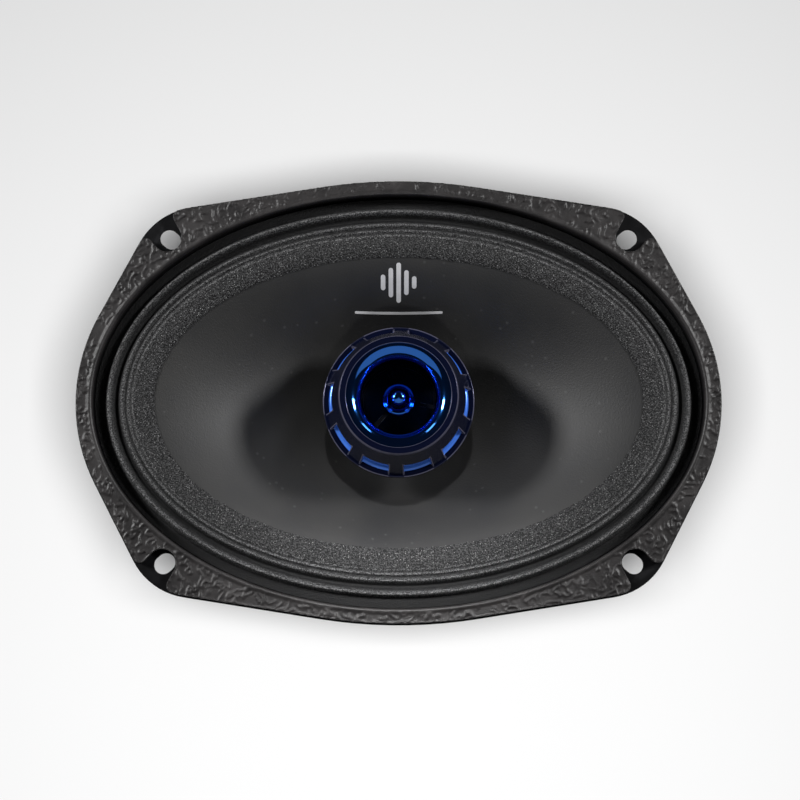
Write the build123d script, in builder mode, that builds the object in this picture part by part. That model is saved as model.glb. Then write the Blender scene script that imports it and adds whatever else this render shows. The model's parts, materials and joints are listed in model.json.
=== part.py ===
"""A 6 by 9 inch coaxial car speaker: oval woofer with a bullet tweeter on its pole."""

import os
from math import cos, hypot, radians, sin, tan

from build123d import *

os.makedirs("parts", exist_ok=True)

# The part lies on its magnet. The origin is the centre of the flange's rear face,
# +Z points out of the front, +X along the oval's long axis. Sizes are in millimetres.

# Mounting flange
length = 235.0
width = 163.0
sheet = 1.0  # the steel that the basket is pressed from
side_slope, side_r = 27.7, 66.0  # degrees off Y, and the rounding of the two ends
top_slope, top_r = 9.0, 180.0  # degrees off X, and the rounding of the long edges
corner_r = 25.0
rim_x, rim_y = 6.4, 5.9  # flange width at the ends and at the long edges
screw_in_x, screw_in_y = 5.51, 10.07  # from the sharp corner to a screw slot's centre
slot_w, slot_l, slot_lean = 6.6, 8.0, 40.0

# Basket
well_depth = 2.5
ledge = 4.2
shoulder_z, shoulder_in = -12.0, 6.7
basket_depth = 50.0
cup_h = 7.0
landing_r, landing_w = 56.0, 11.0
leg_w = 17.0
window_gap = 0.8
window_r = 3.0

# Gasket
gasket_t = 3.5
gasket_in = 0.7
notch_r, notch_mouth, notch_reach = 5.2, 13.4, 12.0
notch_lean, notch_out = 55.0, 0.8  # its lean off X, and how far it sits out from the slot along X
lobe_r = 2.4

# Cloth surround, as distances in from the basket's opening
cloth = 0.7
glue_rim, lap_in, lap_w = 3.8, 14.3, 2.7
play = 0.3
roll_h = 2.5

# Voice coil and cone
former_r, former_t = 18.9, 0.25
winding_t, winding_l = 0.8, 14.0
gap_play = 0.5
paper = 0.7
cone_edge_z, neck_z = -1.5, -38.0
flare = 1.4
lip_w = 2.5

# Spider
spider_w = 6.0
spider_t = 0.4
wave_h = 0.8
wave_n = 5

# Motor
top_plate_r, top_plate_t = 46.0, 6.0
magnet_r, magnet_t = 52.0, 16.0
back_plate_r, back_plate_t = 46.0, 6.0
pole_rise = 1.0
magnet_play = 5.5
rivet_r, rivet_head_r, rivet_head_t = 2.0, 3.0, 1.2
rivet_n = 4
vent_r, vent_depth = 8.0, 7.0
groove_w, groove_h = 5.0, 2.2

# Terminals, leads and wires
board_t, board_w, board_reach = 1.6, 34.0, 14.0
tab_t, tab_x, tab_out = 0.8, 9.5, 6.0
tab_wide, tab_narrow = 6.3, 4.8
tag_gap, tag_top = 3.2, -36.2
small_rivet_r, small_head_r, small_head_t = 1.5, 2.2, 0.7
board_rivet_x = 11.0
lead_d, lead_angle, lead_z = 1.0, 15.0, -40.3
joint_out, joint_w, joint_h = 1.45, 3.0, 1.4
wire_d, wire_x = 1.2, 0.9
cap_r, cap_l, cap_lead = 5.0, 22.0, 0.8
cap_gap = 1.0

# Tweeter
ring_r, ring_z, ring_t = 27.8, -8.0, 3.0
lip_r, lip_top, lip_t = 21.2, 14.0, 1.5
mouth_r, throat_r, throat_z = 18.9, 13.4, 7.0
shell_t, bell_sag = 1.2, 0.92
pocket_n, pocket_deg, pocket_depth, pocket_top = 10, 24.0, 3.5, 10.0
inner_r = 22.6
pot_top, pot_r, pot_h, pot_floor = -6.0, 17.5, 12.0, 2.5
coil_r, coil_t, coil_l = 12.5, 0.4, 5.0
tweeter_gap = 0.4
pole_plate_t, tweeter_magnet_r = 3.0, 11.0
film = 0.2
dome_h = 1.9
bullet_r, bullet_base, bullet_tip = 6.0, -1.5, 7.5
leg_t, leg_breadth = 1.6, 1.6
cover_r, cover_wall, cover_floor = 22.0, 1.5, 2.0
pad_t = 2.0
strip_r, strip_t = 3.8, 1.4
post_r, post_shank_r, post_bore = 9.0, 5.0, 2.6
post_flange_r, post_flange_t, post_screw_r = 14.0, 2.0, 11.0
screw_r, screw_head_r, screw_head_t, screw_bite = 0.9, 1.8, 1.2, 1.8
bezel_screw_r = 24.9

# Places that follow from the sizes above
opening_a, opening_b = length / 2 - rim_x, width / 2 - rim_y
ledge_z = -well_depth
motor_z = -basket_depth
landing_z = motor_z + cup_h + sheet
board_z = landing_z - sheet
magnet_z = motor_z - top_plate_t
back_z = magnet_z - magnet_t
rear_z = back_z - back_plate_t
former_out = former_r + former_t
winding_out = former_out + winding_t
pole_r = former_r - gap_play
gap_r = winding_out + gap_play
magnet_bore = gap_r + magnet_play
edge_a, edge_b = opening_a - lap_in - play, opening_b - lap_in - play
cover_z = pot_top - pot_h - pad_t - cover_floor
film_top = pot_top + film
gap_middle = motor_z - top_plate_t / 2
groove_z = rear_z + groove_h / 2 - 0.1
slope_side, slope_top = tan(radians(side_slope)), tan(radians(top_slope))
tip_x = length / 2 + side_r * (1 / cos(radians(side_slope)) - 1)
tip_y = width / 2 + top_r * (1 / cos(radians(top_slope)) - 1)
corner_x = (tip_x - slope_side * tip_y) / (1 - slope_side * slope_top)
corner_y = tip_y - slope_top * corner_x
screw_x, screw_y = corner_x - screw_in_x, corner_y - screw_in_y
screw_places = [(sx, sy) for sx in (1, -1) for sy in (1, -1)]


def finish(piece, name):
    """Label a piece and write it to its own file."""
    piece.part.label = name
    export_step(piece.part, f"parts/{name}.step")


def polar(radius, degree):
    """The point at a radius and an angle about the speaker's axis."""
    return radius * cos(radians(degree)), radius * sin(radians(degree))


# The flange's outline: a barrel-sided eight-cornered plate, rounded at every corner
with BuildSketch() as outline:
    with BuildLine():
        Polyline(
            (tip_x, 0), (corner_x, corner_y), (0, tip_y), (-corner_x, corner_y),
            (-tip_x, 0), (-corner_x, -corner_y), (0, -tip_y), (corner_x, -corner_y),
            close=True,
        )
    make_face()
    fillet(outline.vertices().sort_by(Axis.X)[::7], side_r)
    fillet(outline.vertices().filter_by(lambda v: abs(v.X) < 1), top_r)
    fillet(
        outline.vertices().filter_by(lambda v: abs(v.X) > corner_x - 1 and abs(v.Y) > corner_y - 1), corner_r
    )

# Basket: flange, well, oval wall down to the spider's landing, cup and floor
wall_levels = [
    (opening_a - ledge + sheet, opening_b - ledge + sheet, ledge_z - sheet),
    (opening_a - shoulder_in, opening_b - shoulder_in, shoulder_z),
    (landing_r + sheet, landing_r + sheet, landing_z - sheet),
]
with BuildPart() as wall_core:
    for a, b, z in wall_levels:
        with BuildSketch(Plane.XY.offset(z)):
            Ellipse(a - sheet, b - sheet)
    loft(ruled=True)

with BuildPart() as basket:
    for a, b, z in wall_levels:
        with BuildSketch(Plane.XY.offset(z)):
            Ellipse(a, b)
    loft(ruled=True)
    add(wall_core.part, mode=Mode.SUBTRACT)
    with BuildSketch():
        add(outline.sketch)
        Ellipse(opening_a, opening_b, mode=Mode.SUBTRACT)
        for sx, sy in screw_places:
            with Locations(Location((sx * screw_x, sy * screw_y), sx * sy * slot_lean)):
                SlotOverall(slot_l, slot_w, mode=Mode.SUBTRACT)
    extrude(amount=sheet)
    with BuildSketch(Plane.XY.offset(ledge_z - sheet)):
        Ellipse(opening_a + sheet, opening_b + sheet)
        Ellipse(opening_a, opening_b, mode=Mode.SUBTRACT)
    extrude(amount=well_depth + 2 * sheet)
    with BuildSketch(Plane.XY.offset(ledge_z - sheet)):
        Ellipse(opening_a + sheet, opening_b + sheet)
        Ellipse(opening_a - ledge, opening_b - ledge, mode=Mode.SUBTRACT)
    extrude(amount=sheet)
    with BuildSketch(Plane.XZ):
        with BuildLine():
            inside = landing_r - landing_w
            Polyline(
                (inside, landing_z), (landing_r + sheet, landing_z),
                (landing_r + sheet, board_z), (inside + sheet, board_z),
                (inside + sheet, motor_z), (gap_r + 3, motor_z),
                (gap_r + 3, motor_z + sheet), (inside, motor_z + sheet), close=True,
            )
        make_face()
    revolve(axis=Axis.Z)
    with BuildSketch(Plane.XY.offset(board_z)):
        top_a, top_b, top_z = wall_levels[1]
        Ellipse(top_a - 4, top_b - 2)
        Circle(landing_r + sheet + window_gap, mode=Mode.SUBTRACT)
        with PolarLocations(0, 3):
            Rectangle(2 * length, leg_w, mode=Mode.SUBTRACT)
        fillet(vertices(), window_r)
    extrude(amount=top_z - board_z + 2, mode=Mode.SUBTRACT)
    with BuildSketch(Plane.XY.offset(motor_z)):
        with PolarLocations(inside - rivet_head_r * 3, rivet_n, start_angle=45):
            Circle(rivet_r)
    extrude(amount=sheet, mode=Mode.SUBTRACT)
    with BuildSketch(Plane.XY.offset(board_z)):
        board_rivet_y = -((landing_r - small_head_r - 0.2) ** 2 - board_rivet_x**2) ** 0.5
        with Locations((board_rivet_x, board_rivet_y), (-board_rivet_x, board_rivet_y)):
            Circle(small_rivet_r)
    extrude(amount=sheet, mode=Mode.SUBTRACT)
finish(basket, "basket")

def from_notch(p):
    return hypot(abs(p.X) - screw_x - notch_out, abs(p.Y) - screw_y)


# Gasket: one soft ring on the flange, cut back around the four screw slots
with BuildPart() as gasket:
    with BuildSketch(Plane.XY.offset(sheet)) as pad:
        add(outline.sketch)
        offset(amount=-gasket_in)
        Ellipse(opening_a, opening_b, mode=Mode.SUBTRACT)
        for sx, sy in screw_places:
            lean = sy * (notch_lean if sx > 0 else 180 - notch_lean)
            with Locations(Location((sx * (screw_x + notch_out), sy * screw_y), lean)):
                Circle(notch_r, mode=Mode.SUBTRACT)
                Polygon(
                    (0, -notch_r), (notch_reach, -notch_mouth / 2), (notch_reach, notch_mouth / 2),
                    (0, notch_r), align=None, mode=Mode.SUBTRACT,
                )
    extrude(amount=gasket_t)
    walls = gasket.edges().filter_by(Axis.Z).filter_by(lambda e: from_notch(e.center()) > notch_r + 1)
    fillet(walls.sort_by(lambda e: from_notch(e.center()))[:8], lobe_r)
    chamfer(gasket.faces().sort_by(Axis.Z)[-1].inner_wires().edges(), 0.6)
finish(gasket, "gasket")

# Cloth surround: glue rim, one tall roll, two low ones, and the lap on the cone
lap_z = cone_edge_z + cloth
roll_top = [
    (play, ledge_z + cloth), (glue_rim, ledge_z + cloth), (5.1, ledge_z + cloth + roll_h),
    (7.2, ledge_z + 1.0), (8.4, ledge_z + 0.6), (10.0, lap_z + 0.5), (11.1, lap_z - 0.6),
    (12.2, lap_z + 0.5), (13.2, lap_z - 0.5), (lap_in, lap_z), (lap_in + lap_w, lap_z),
]
with BuildPart() as surround:
    with BuildLine() as ring_path:
        add(Edge.make_ellipse(opening_a - lap_in * 0.65, opening_b - lap_in * 0.65))
    with BuildSketch(Plane.XZ):
        with BuildLine():
            upper = [(opening_a - d, z) for d, z in roll_top]
            lower = [(x, z - cloth) for x, z in reversed(upper)]
            Polyline(*upper, *lower, close=True)
        make_face()
    sweep(path=ring_path.line)
finish(surround, "surround")

# Paper cone: flared from the oval lip down to the round neck
cone_levels = []
for share in (0, 0.15, 0.35, 0.6, 0.82, 1):
    rise = 1 - (1 - share) ** flare
    cone_levels.append(
        (
            former_out + (edge_a - lip_w - former_out) * share,
            former_out + (edge_b - lip_w - former_out) * share,
            neck_z + (cone_edge_z - neck_z) * rise,
        )
    )
with BuildPart() as cone_hollow:
    for a, b, z in cone_levels:
        with BuildSketch(Plane.XY.offset(z)):
            Ellipse(a, b)
    loft()

with BuildPart() as cone:
    for a, b, z in cone_levels:
        with BuildSketch(Plane.XY.offset(z - paper)):
            Ellipse(a + paper / 2, b + paper / 2)
    loft()
    with BuildSketch(Plane.XY.offset(cone_edge_z - paper)):
        Ellipse(edge_a, edge_b)
    extrude(amount=paper)
    add(cone_hollow.part, mode=Mode.SUBTRACT)
    with BuildSketch(Plane.XY.offset(neck_z - paper)):
        Circle(former_out)
    extrude(amount=2 * paper, mode=Mode.SUBTRACT)
finish(cone, "cone")

# Voice coil: the former reaches from the neck to the end of its winding
winding_z = gap_middle - winding_l / 2
with BuildPart() as voice_coil_former:
    with BuildSketch(Plane.XY.offset(winding_z - 1)):
        Circle(former_out)
        Circle(former_r, mode=Mode.SUBTRACT)
    extrude(amount=neck_z + 1 - winding_z + 1)
finish(voice_coil_former, "voice_coil_former")

with BuildPart() as voice_coil_winding:
    with BuildSketch(Plane.XY.offset(winding_z)):
        Circle(winding_out)
        Circle(former_out, mode=Mode.SUBTRACT)
    extrude(amount=winding_l)
finish(voice_coil_winding, "voice_coil_winding")

# Spider: a corrugated cloth disc between the former and the basket's landing
spider_in, spider_out = former_out, inside - play
collar = 1.5
pitch = (spider_out - spider_in - collar) / (2 * wave_n)
with BuildPart() as spider:
    with BuildSketch(Plane.XZ):
        with BuildLine():
            upper = [(spider_in, landing_z + spider_t)]
            for k in range(2 * wave_n + 1):
                swing = wave_h * (0 if k in (0, 2 * wave_n) else (-1) ** k)
                upper.append((spider_in + collar + k * pitch, landing_z + spider_t + swing))
            upper.append((spider_out + spider_w, landing_z + spider_t))
            lower = [(r, z - spider_t) for r, z in reversed(upper)]
            Polyline(*upper, *lower, close=True)
        make_face()
    revolve(axis=Axis.Z)
finish(spider, "spider")

# Motor: top plate, ferrite ring and the yoke with its pole
with BuildPart() as top_plate:
    with BuildSketch(Plane.XY.offset(magnet_z)):
        Circle(top_plate_r)
        Circle(gap_r, mode=Mode.SUBTRACT)
    extrude(amount=top_plate_t)
    with BuildSketch(Plane.XY.offset(motor_z - top_plate_t + 2)):
        with PolarLocations(inside - rivet_head_r * 3, rivet_n, start_angle=45):
            Circle(rivet_r)
    extrude(amount=top_plate_t - 2, mode=Mode.SUBTRACT)
    chamfer(top_plate.edges().group_by(SortBy.LENGTH)[-1], 0.5)
finish(top_plate, "top_plate")

with BuildPart() as magnet_ring:
    with BuildSketch(Plane.XY.offset(back_z)):
        Circle(magnet_r)
        Circle(magnet_bore, mode=Mode.SUBTRACT)
    extrude(amount=magnet_t)
    chamfer(magnet_ring.edges().group_by(SortBy.LENGTH)[-1], 1.0)
finish(magnet_ring, "magnet_ring")

with BuildPart() as t_yoke:
    with BuildSketch(Plane.XY.offset(rear_z)):
        Circle(back_plate_r)
    extrude(amount=back_plate_t)
    with BuildSketch(Plane.XY.offset(back_z)):
        Circle(pole_r)
    extrude(amount=motor_z + pole_rise - back_z)
    with BuildSketch(Plane.XY.offset(rear_z)):
        Circle(post_shank_r)
    extrude(amount=motor_z + pole_rise - rear_z, mode=Mode.SUBTRACT)
    with BuildSketch(Plane.XY.offset(rear_z)):
        Circle(vent_r)
    extrude(amount=vent_depth, mode=Mode.SUBTRACT)
    with BuildSketch(Plane.XY.offset(rear_z)):
        with Locations((0, -back_plate_r / 2 - 1)):
            Rectangle(groove_w, back_plate_r + 2)
    extrude(amount=groove_h, mode=Mode.SUBTRACT)
finish(t_yoke, "t_yoke")

with BuildPart() as motor_rivets:
    with BuildSketch(Plane.XY.offset(motor_z - top_plate_t + 2)):
        with PolarLocations(inside - rivet_head_r * 3, rivet_n, start_angle=45):
            Circle(rivet_r)
    extrude(amount=top_plate_t - 2 + sheet)
    with BuildSketch(Plane.XY.offset(motor_z + sheet)):
        with PolarLocations(inside - rivet_head_r * 3, rivet_n, start_angle=45):
            Circle(rivet_head_r)
    extrude(amount=rivet_head_t)
    fillet(motor_rivets.edges().group_by(Axis.Z)[-1], 0.6)
finish(motor_rivets, "motor_rivets")

# Terminal board, riveted under the landing on the -Y side
board_in = landing_r - landing_w + 3
board_out = landing_r + sheet + board_reach
board_low = board_z - board_t
tab_rivet_y = -board_out + 6
tag_y = -(landing_r + sheet + tag_gap)
with BuildPart() as terminal_board:
    with BuildSketch(Plane.XY.offset(board_low)):
        with Locations((0, -(board_in + board_out) / 2)):
            RectangleRounded(board_w, board_out - board_in, 2)
        with Locations((board_rivet_x, board_rivet_y), (-board_rivet_x, board_rivet_y)):
            Circle(small_rivet_r, mode=Mode.SUBTRACT)
        with Locations((tab_x, tab_rivet_y), (-tab_x, tab_rivet_y)):
            Circle(small_rivet_r, mode=Mode.SUBTRACT)
        for side, breadth in ((-1, tab_wide), (1, tab_narrow)):
            with Locations((side * tab_x, tag_y - tab_t / 2)):
                Rectangle(breadth / 2, tab_t, mode=Mode.SUBTRACT)
    extrude(amount=board_t)
finish(terminal_board, "terminal_board")

with BuildPart() as board_rivets:
    for z, radius, tall in (
        (board_low - small_head_t, small_head_r, small_head_t),
        (board_low, small_rivet_r, board_t + sheet),
        (landing_z, small_head_r, small_head_t),
    ):
        with BuildSketch(Plane.XY.offset(z)):
            with Locations((board_rivet_x, board_rivet_y), (-board_rivet_x, board_rivet_y)):
                Circle(radius)
        extrude(amount=tall)
finish(board_rivets, "board_rivets")

# Each terminal: a flat blade under the board and a solder tag up through it
for side, breadth, name in ((-1, tab_wide, "terminal_positive"), (1, tab_narrow, "terminal_negative")):
    with BuildPart() as terminal:
        with BuildSketch(Plane.XY.offset(board_low - tab_t)):
            with Locations((side * tab_x, (tag_y - board_out - tab_out) / 2)):
                Rectangle(breadth, board_out + tab_out + tag_y)
            chamfer(vertices().group_by(Axis.Y)[0], breadth / 5)
            with Locations((side * tab_x, tab_rivet_y)):
                Circle(small_rivet_r, mode=Mode.SUBTRACT)
        extrude(amount=tab_t)
        with BuildSketch(Plane.XY.offset(board_low)):
            with Locations((side * tab_x, tag_y - tab_t / 2)):
                Rectangle(breadth / 2, tab_t)
        extrude(amount=tag_top - board_low)
    finish(terminal, name)

with BuildPart() as tab_rivets:
    for z, radius, tall in (
        (board_low - tab_t - small_head_t, small_head_r, small_head_t),
        (board_low - tab_t, small_rivet_r, board_t + tab_t),
        (board_z, small_head_r, small_head_t),
    ):
        with BuildSketch(Plane.XY.offset(z)):
            with Locations((tab_x, tab_rivet_y), (-tab_x, tab_rivet_y)):
                Circle(radius)
        extrude(amount=tall)
finish(tab_rivets, "tab_rivets")

# Solder joints on the former, and the tinsel leads from the tags to them
with BuildPart() as lead_joints:
    for degree in (-90 - lead_angle, -90 + lead_angle):
        with BuildSketch(Plane.XY.offset(lead_z - joint_h / 2)):
            with Locations(Location(polar(former_out, degree), degree)):
                Rectangle(2 * joint_out, joint_w)
        extrude(amount=joint_h)
    with BuildSketch(Plane.XY.offset(lead_z - joint_h)):
        Circle(former_out)
    extrude(amount=2 * joint_h, mode=Mode.SUBTRACT)
finish(lead_joints, "lead_joints")

for side, degree, name in (
    (-1, -90 - lead_angle, "lead_positive"),
    (1, -90 + lead_angle, "lead_negative"),
):
    start = former_out + joint_out
    with BuildPart() as lead:
        with BuildLine() as route:
            FilletPolyline(
                (side * tab_x, tag_y, tag_top - lead_d),
                (side * tab_x, tag_y + 5, tag_top - lead_d),
                (side * (tab_x - 0.5), tag_y + 15, tag_top + 3),
                (*polar(start + 9, degree), lead_z + 6),
                (*polar(start + 3.2, degree), lead_z),
                (*polar(start, degree), lead_z),
                radius=[6, 6, 6, 2],
            )
        with BuildSketch(Plane(route.line @ 0, z_dir=route.line % 0)):
            Circle(lead_d / 2)
        sweep(path=route.line)
    finish(lead, name)

# Crossover capacitor, glued under the board, with its two leads
cap_y = -(landing_r - landing_w / 2 + 3)
cap_z = board_low - cap_gap - cap_r
foot_z = board_low - tab_t
with BuildPart() as capacitor:
    with BuildSketch(Plane.YZ.offset(-cap_l / 2)):
        with Locations((cap_y, cap_z)):
            Circle(cap_r)
    extrude(amount=cap_l)
    fillet(capacitor.edges(), 0.8)
    with BuildLine() as cap_route:
        FilletPolyline(
            (-cap_l / 2 + 0.5, cap_y, cap_z), (-cap_l / 2 - 3.6, cap_y, cap_z),
            (-tab_x - 2.5, tag_y - 1.5, cap_z), (-tab_x - 2.5, tag_y - 1.5, foot_z),
            radius=1.4,
        )
    with BuildSketch(Plane(cap_route.line @ 0, z_dir=cap_route.line % 0)):
        Circle(cap_lead / 2)
    sweep(path=cap_route.line)
    with BuildSketch(Plane.YZ.offset(cap_l / 2 - 0.5)):
        with Locations((cap_y, cap_z)):
            Circle(cap_lead / 2)
    extrude(amount=4.1)
finish(capacitor, "capacitor")

with BuildPart() as capacitor_adhesive:
    with BuildSketch(Plane.XY.offset(cap_z + cap_r - 1.2)):
        with Locations((0, cap_y)):
            RectangleRounded(cap_l - 8, 7, 2)
    extrude(amount=1.2 + cap_gap)
    with BuildSketch(Plane.YZ.offset(-cap_l / 2)):
        with Locations((cap_y, cap_z)):
            Circle(cap_r)
    extrude(amount=cap_l, mode=Mode.SUBTRACT)
finish(capacitor_adhesive, "capacitor_adhesive")

# Tweeter wires: down beside the magnet, along the rear groove and up inside the post
strip_z = pot_top - pot_h - strip_t
beside = -(magnet_r + 4)
wire_starts = {
    "tweeter_wire_positive": (1, [
        (cap_l / 2 + 3.6, cap_y, cap_z), (cap_l / 2 + 7.5, cap_y, cap_z), (16, beside - 1, cap_z - 10),
        (4, beside - 1.5, cap_z - 19),
    ]),
    "tweeter_wire_negative": (-1, [
        (tab_x - 1.6, tag_y - 1.5, foot_z), (tab_x - 1.6, tag_y - 1.5, foot_z - 7),
        (-4, beside - 1.5, cap_z - 15),
    ]),
}
for name, (side, starts) in wire_starts.items():
    with BuildPart() as wire:
        with BuildLine() as route:
            FilletPolyline(
                *starts, (side * wire_x, beside, groove_z), (side * wire_x, 0, groove_z),
                (side * wire_x, 0, strip_z),
                radius=[2.2] * (len(starts) - 1) + [3.0, 3.2],
            )
        with BuildSketch(Plane(route.line @ 0, z_dir=route.line % 0)):
            Circle(wire_d / 2)
        sweep(path=route.line)
    finish(wire, name)

# Post: pressed into the pole, with the flange that carries the tweeter
with BuildPart() as tweeter_post:
    with BuildSketch(Plane.XZ):
        with BuildLine():
            seat_z = motor_z + pole_rise
            Polyline(
                (post_bore, rear_z + vent_depth), (post_shank_r, rear_z + vent_depth),
                (post_shank_r, seat_z), (post_r, seat_z), (post_r, cover_z - post_flange_t),
                (post_flange_r, cover_z - post_flange_t), (post_flange_r, cover_z),
                (post_bore, cover_z), close=True,
            )
        make_face()
    revolve(axis=Axis.Z)
    with BuildSketch(Plane.XY.offset(cover_z - post_flange_t)):
        with PolarLocations(post_screw_r, 3, start_angle=90):
            Circle(screw_r)
    extrude(amount=post_flange_t, mode=Mode.SUBTRACT)
finish(tweeter_post, "tweeter_post")

with BuildPart() as post_screws:
    with BuildSketch(Plane.XY.offset(cover_z - post_flange_t)):
        with PolarLocations(post_screw_r, 3, start_angle=90):
            Circle(screw_r)
    extrude(amount=post_flange_t + screw_bite)
    with BuildSketch(Plane.XY.offset(cover_z - post_flange_t - screw_head_t)):
        with PolarLocations(post_screw_r, 3, start_angle=90):
            Circle(screw_head_r)
    extrude(amount=screw_head_t)
finish(post_screws, "post_screws")

# Tweeter's rear: cover, foam pad, terminal strip
flange_low = ring_z - cover_wall
with BuildPart() as tweeter_back_cover:
    with BuildSketch(Plane.XZ):
        with BuildLine():
            Polyline(
                (post_bore, cover_z), (cover_r - 1, cover_z), (cover_r, cover_z + 1),
                (cover_r, flange_low), (ring_r - play, flange_low), (ring_r - play, ring_z),
                (cover_r - cover_wall, ring_z), (cover_r - cover_wall, cover_z + cover_floor),
                (post_bore, cover_z + cover_floor), close=True,
            )
        make_face()
    revolve(axis=Axis.Z)
    with BuildSketch(Plane.XY.offset(cover_z)):
        with PolarLocations(post_screw_r, 3, start_angle=90):
            Circle(screw_r)
    extrude(amount=screw_bite, mode=Mode.SUBTRACT)
    with BuildSketch(Plane.XY.offset(flange_low)):
        with PolarLocations(bezel_screw_r, 3, start_angle=30):
            Circle(screw_r)
    extrude(amount=cover_wall, mode=Mode.SUBTRACT)
finish(tweeter_back_cover, "tweeter_back_cover")

with BuildPart() as tweeter_foam_pad:
    with BuildSketch(Plane.XY.offset(cover_z + cover_floor)):
        Circle(pot_r)
        Circle(strip_r + play, mode=Mode.SUBTRACT)
    extrude(amount=pad_t)
finish(tweeter_foam_pad, "tweeter_foam_pad")

with BuildPart() as tweeter_terminal_strip:
    with BuildSketch(Plane.XY.offset(strip_z)):
        Circle(strip_r)
    extrude(amount=strip_t)
finish(tweeter_terminal_strip, "tweeter_terminal_strip")

# Tweeter's motor: steel pot, magnet disc and pole plate
pole_plate_z = pot_top - 1.5 - pole_plate_t
tweeter_pole_r = coil_r - tweeter_gap
with BuildPart() as tweeter_pot:
    with BuildSketch(Plane.XY.offset(pot_top - pot_h)):
        Circle(pot_r)
    extrude(amount=pot_h)
    with BuildSketch(Plane.XY.offset(pot_top - pot_h + pot_floor)):
        Circle(coil_r + coil_t + tweeter_gap)
    extrude(amount=pot_h - pot_floor, mode=Mode.SUBTRACT)
finish(tweeter_pot, "tweeter_pot")

with BuildPart() as tweeter_magnet:
    with BuildSketch(Plane.XY.offset(pot_top - pot_h + pot_floor)):
        Circle(tweeter_magnet_r)
    extrude(amount=pole_plate_z - (pot_top - pot_h + pot_floor))
finish(tweeter_magnet, "tweeter_magnet")

with BuildPart() as tweeter_pole_plate:
    with BuildSketch(Plane.XY.offset(pole_plate_z)):
        Circle(tweeter_pole_r)
    extrude(amount=pole_plate_t)
finish(tweeter_pole_plate, "tweeter_pole_plate")

# Tweeter's moving parts: dome and voice coil, and the film that holds them
dome_r = coil_r + coil_t
ball_r = (dome_r**2 + dome_h**2) / (2 * dome_h)


def dome_z(radius):
    """Height of the dome's outside at a radius: a cap of a sphere."""
    return film_top + dome_h - ball_r + (ball_r**2 - radius**2) ** 0.5


with BuildPart() as tweeter_diaphragm:
    with BuildSketch(Plane.XZ):
        with BuildLine():
            crown = (0, film_top + dome_h)
            outer = ThreePointArc((dome_r, film_top), (dome_r / 2, dome_z(dome_r / 2)), crown)
            Line(crown, (0, crown[1] - film))
            inner = ThreePointArc(
                (0, crown[1] - film), (coil_r / 2, dome_z(coil_r / 2) - film),
                (coil_r, dome_z(coil_r) - film),
            )
            Polyline(inner @ 1, (coil_r, pot_top), (dome_r, pot_top), outer @ 0)
        make_face()
    revolve(axis=Axis.Z)
finish(tweeter_diaphragm, "tweeter_diaphragm")

with BuildPart() as tweeter_voice_coil:
    with BuildSketch(Plane.XY.offset(pot_top - coil_l)):
        Circle(dome_r)
        Circle(coil_r, mode=Mode.SUBTRACT)
    extrude(amount=coil_l)
finish(tweeter_voice_coil, "tweeter_voice_coil")

with BuildPart() as tweeter_suspension:
    with BuildSketch(Plane.XY.offset(pot_top)):
        Circle(pot_r)
        Circle(dome_r + 0.05, mode=Mode.SUBTRACT)
    extrude(amount=film)
finish(tweeter_suspension, "tweeter_suspension")

# Tweeter's front: horn, bullet on its three legs, and the castellated bezel
horn_top = lip_top - lip_t
horn_rim = mouth_r + shell_t
bell_mid_r = (mouth_r + throat_r) / 2 - bell_sag
bell_mid_z = (horn_top + throat_z) / 2 + bell_sag
back_step = shell_t * sin(radians(45))
with BuildPart() as tweeter_horn:
    with BuildSketch(Plane.XZ):
        with BuildLine():
            bell = ThreePointArc((mouth_r, horn_top), (bell_mid_r, bell_mid_z), (throat_r, throat_z))
            Line(bell @ 1, (throat_r, film_top))
            Polyline(
                (throat_r, film_top), (pot_r + 2, film_top), (pot_r + 2, film_top + 2),
                (throat_r + shell_t, film_top + 2), (throat_r + shell_t, throat_z),
            )
            back = ThreePointArc(
                (throat_r + shell_t, throat_z),
                (bell_mid_r + back_step, bell_mid_z - back_step),
                (horn_rim - 0.1, horn_top - shell_t),
            )
            Polyline(back @ 1, (horn_rim, horn_top - shell_t), (horn_rim, horn_top), bell @ 0)
        make_face()
    revolve(axis=Axis.Z)
finish(tweeter_horn, "tweeter_horn")

with BuildPart() as bullet:
    with BuildSketch(Plane.XZ):
        with BuildLine():
            belly = bullet_base + leg_t
            side_line = Line((bullet_r, belly), (bullet_r, belly + 1.2))
            nose = Spline(
                side_line @ 1, (bullet_r * 0.72, belly + 4.4), (bullet_r * 0.4, bullet_tip - 0.7),
                (0, bullet_tip), tangents=[(0, 1), (-1, 0)],
            )
            Polyline(nose @ 1, (0, belly), side_line @ 0)
        make_face()
    revolve(axis=Axis.Z)
finish(bullet, "bullet")

with BuildPart() as bullet_bridge:
    with BuildSketch(Plane.XY.offset(bullet_base)) as spokes:
        with PolarLocations(throat_r / 2, 3, start_angle=108):
            Rectangle(throat_r * 1.1, leg_breadth)
        Circle(bullet_r - 1)
        Circle(throat_r, mode=Mode.INTERSECT)
    extrude(amount=leg_t)
finish(bullet_bridge, "bullet_bridge")

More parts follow.
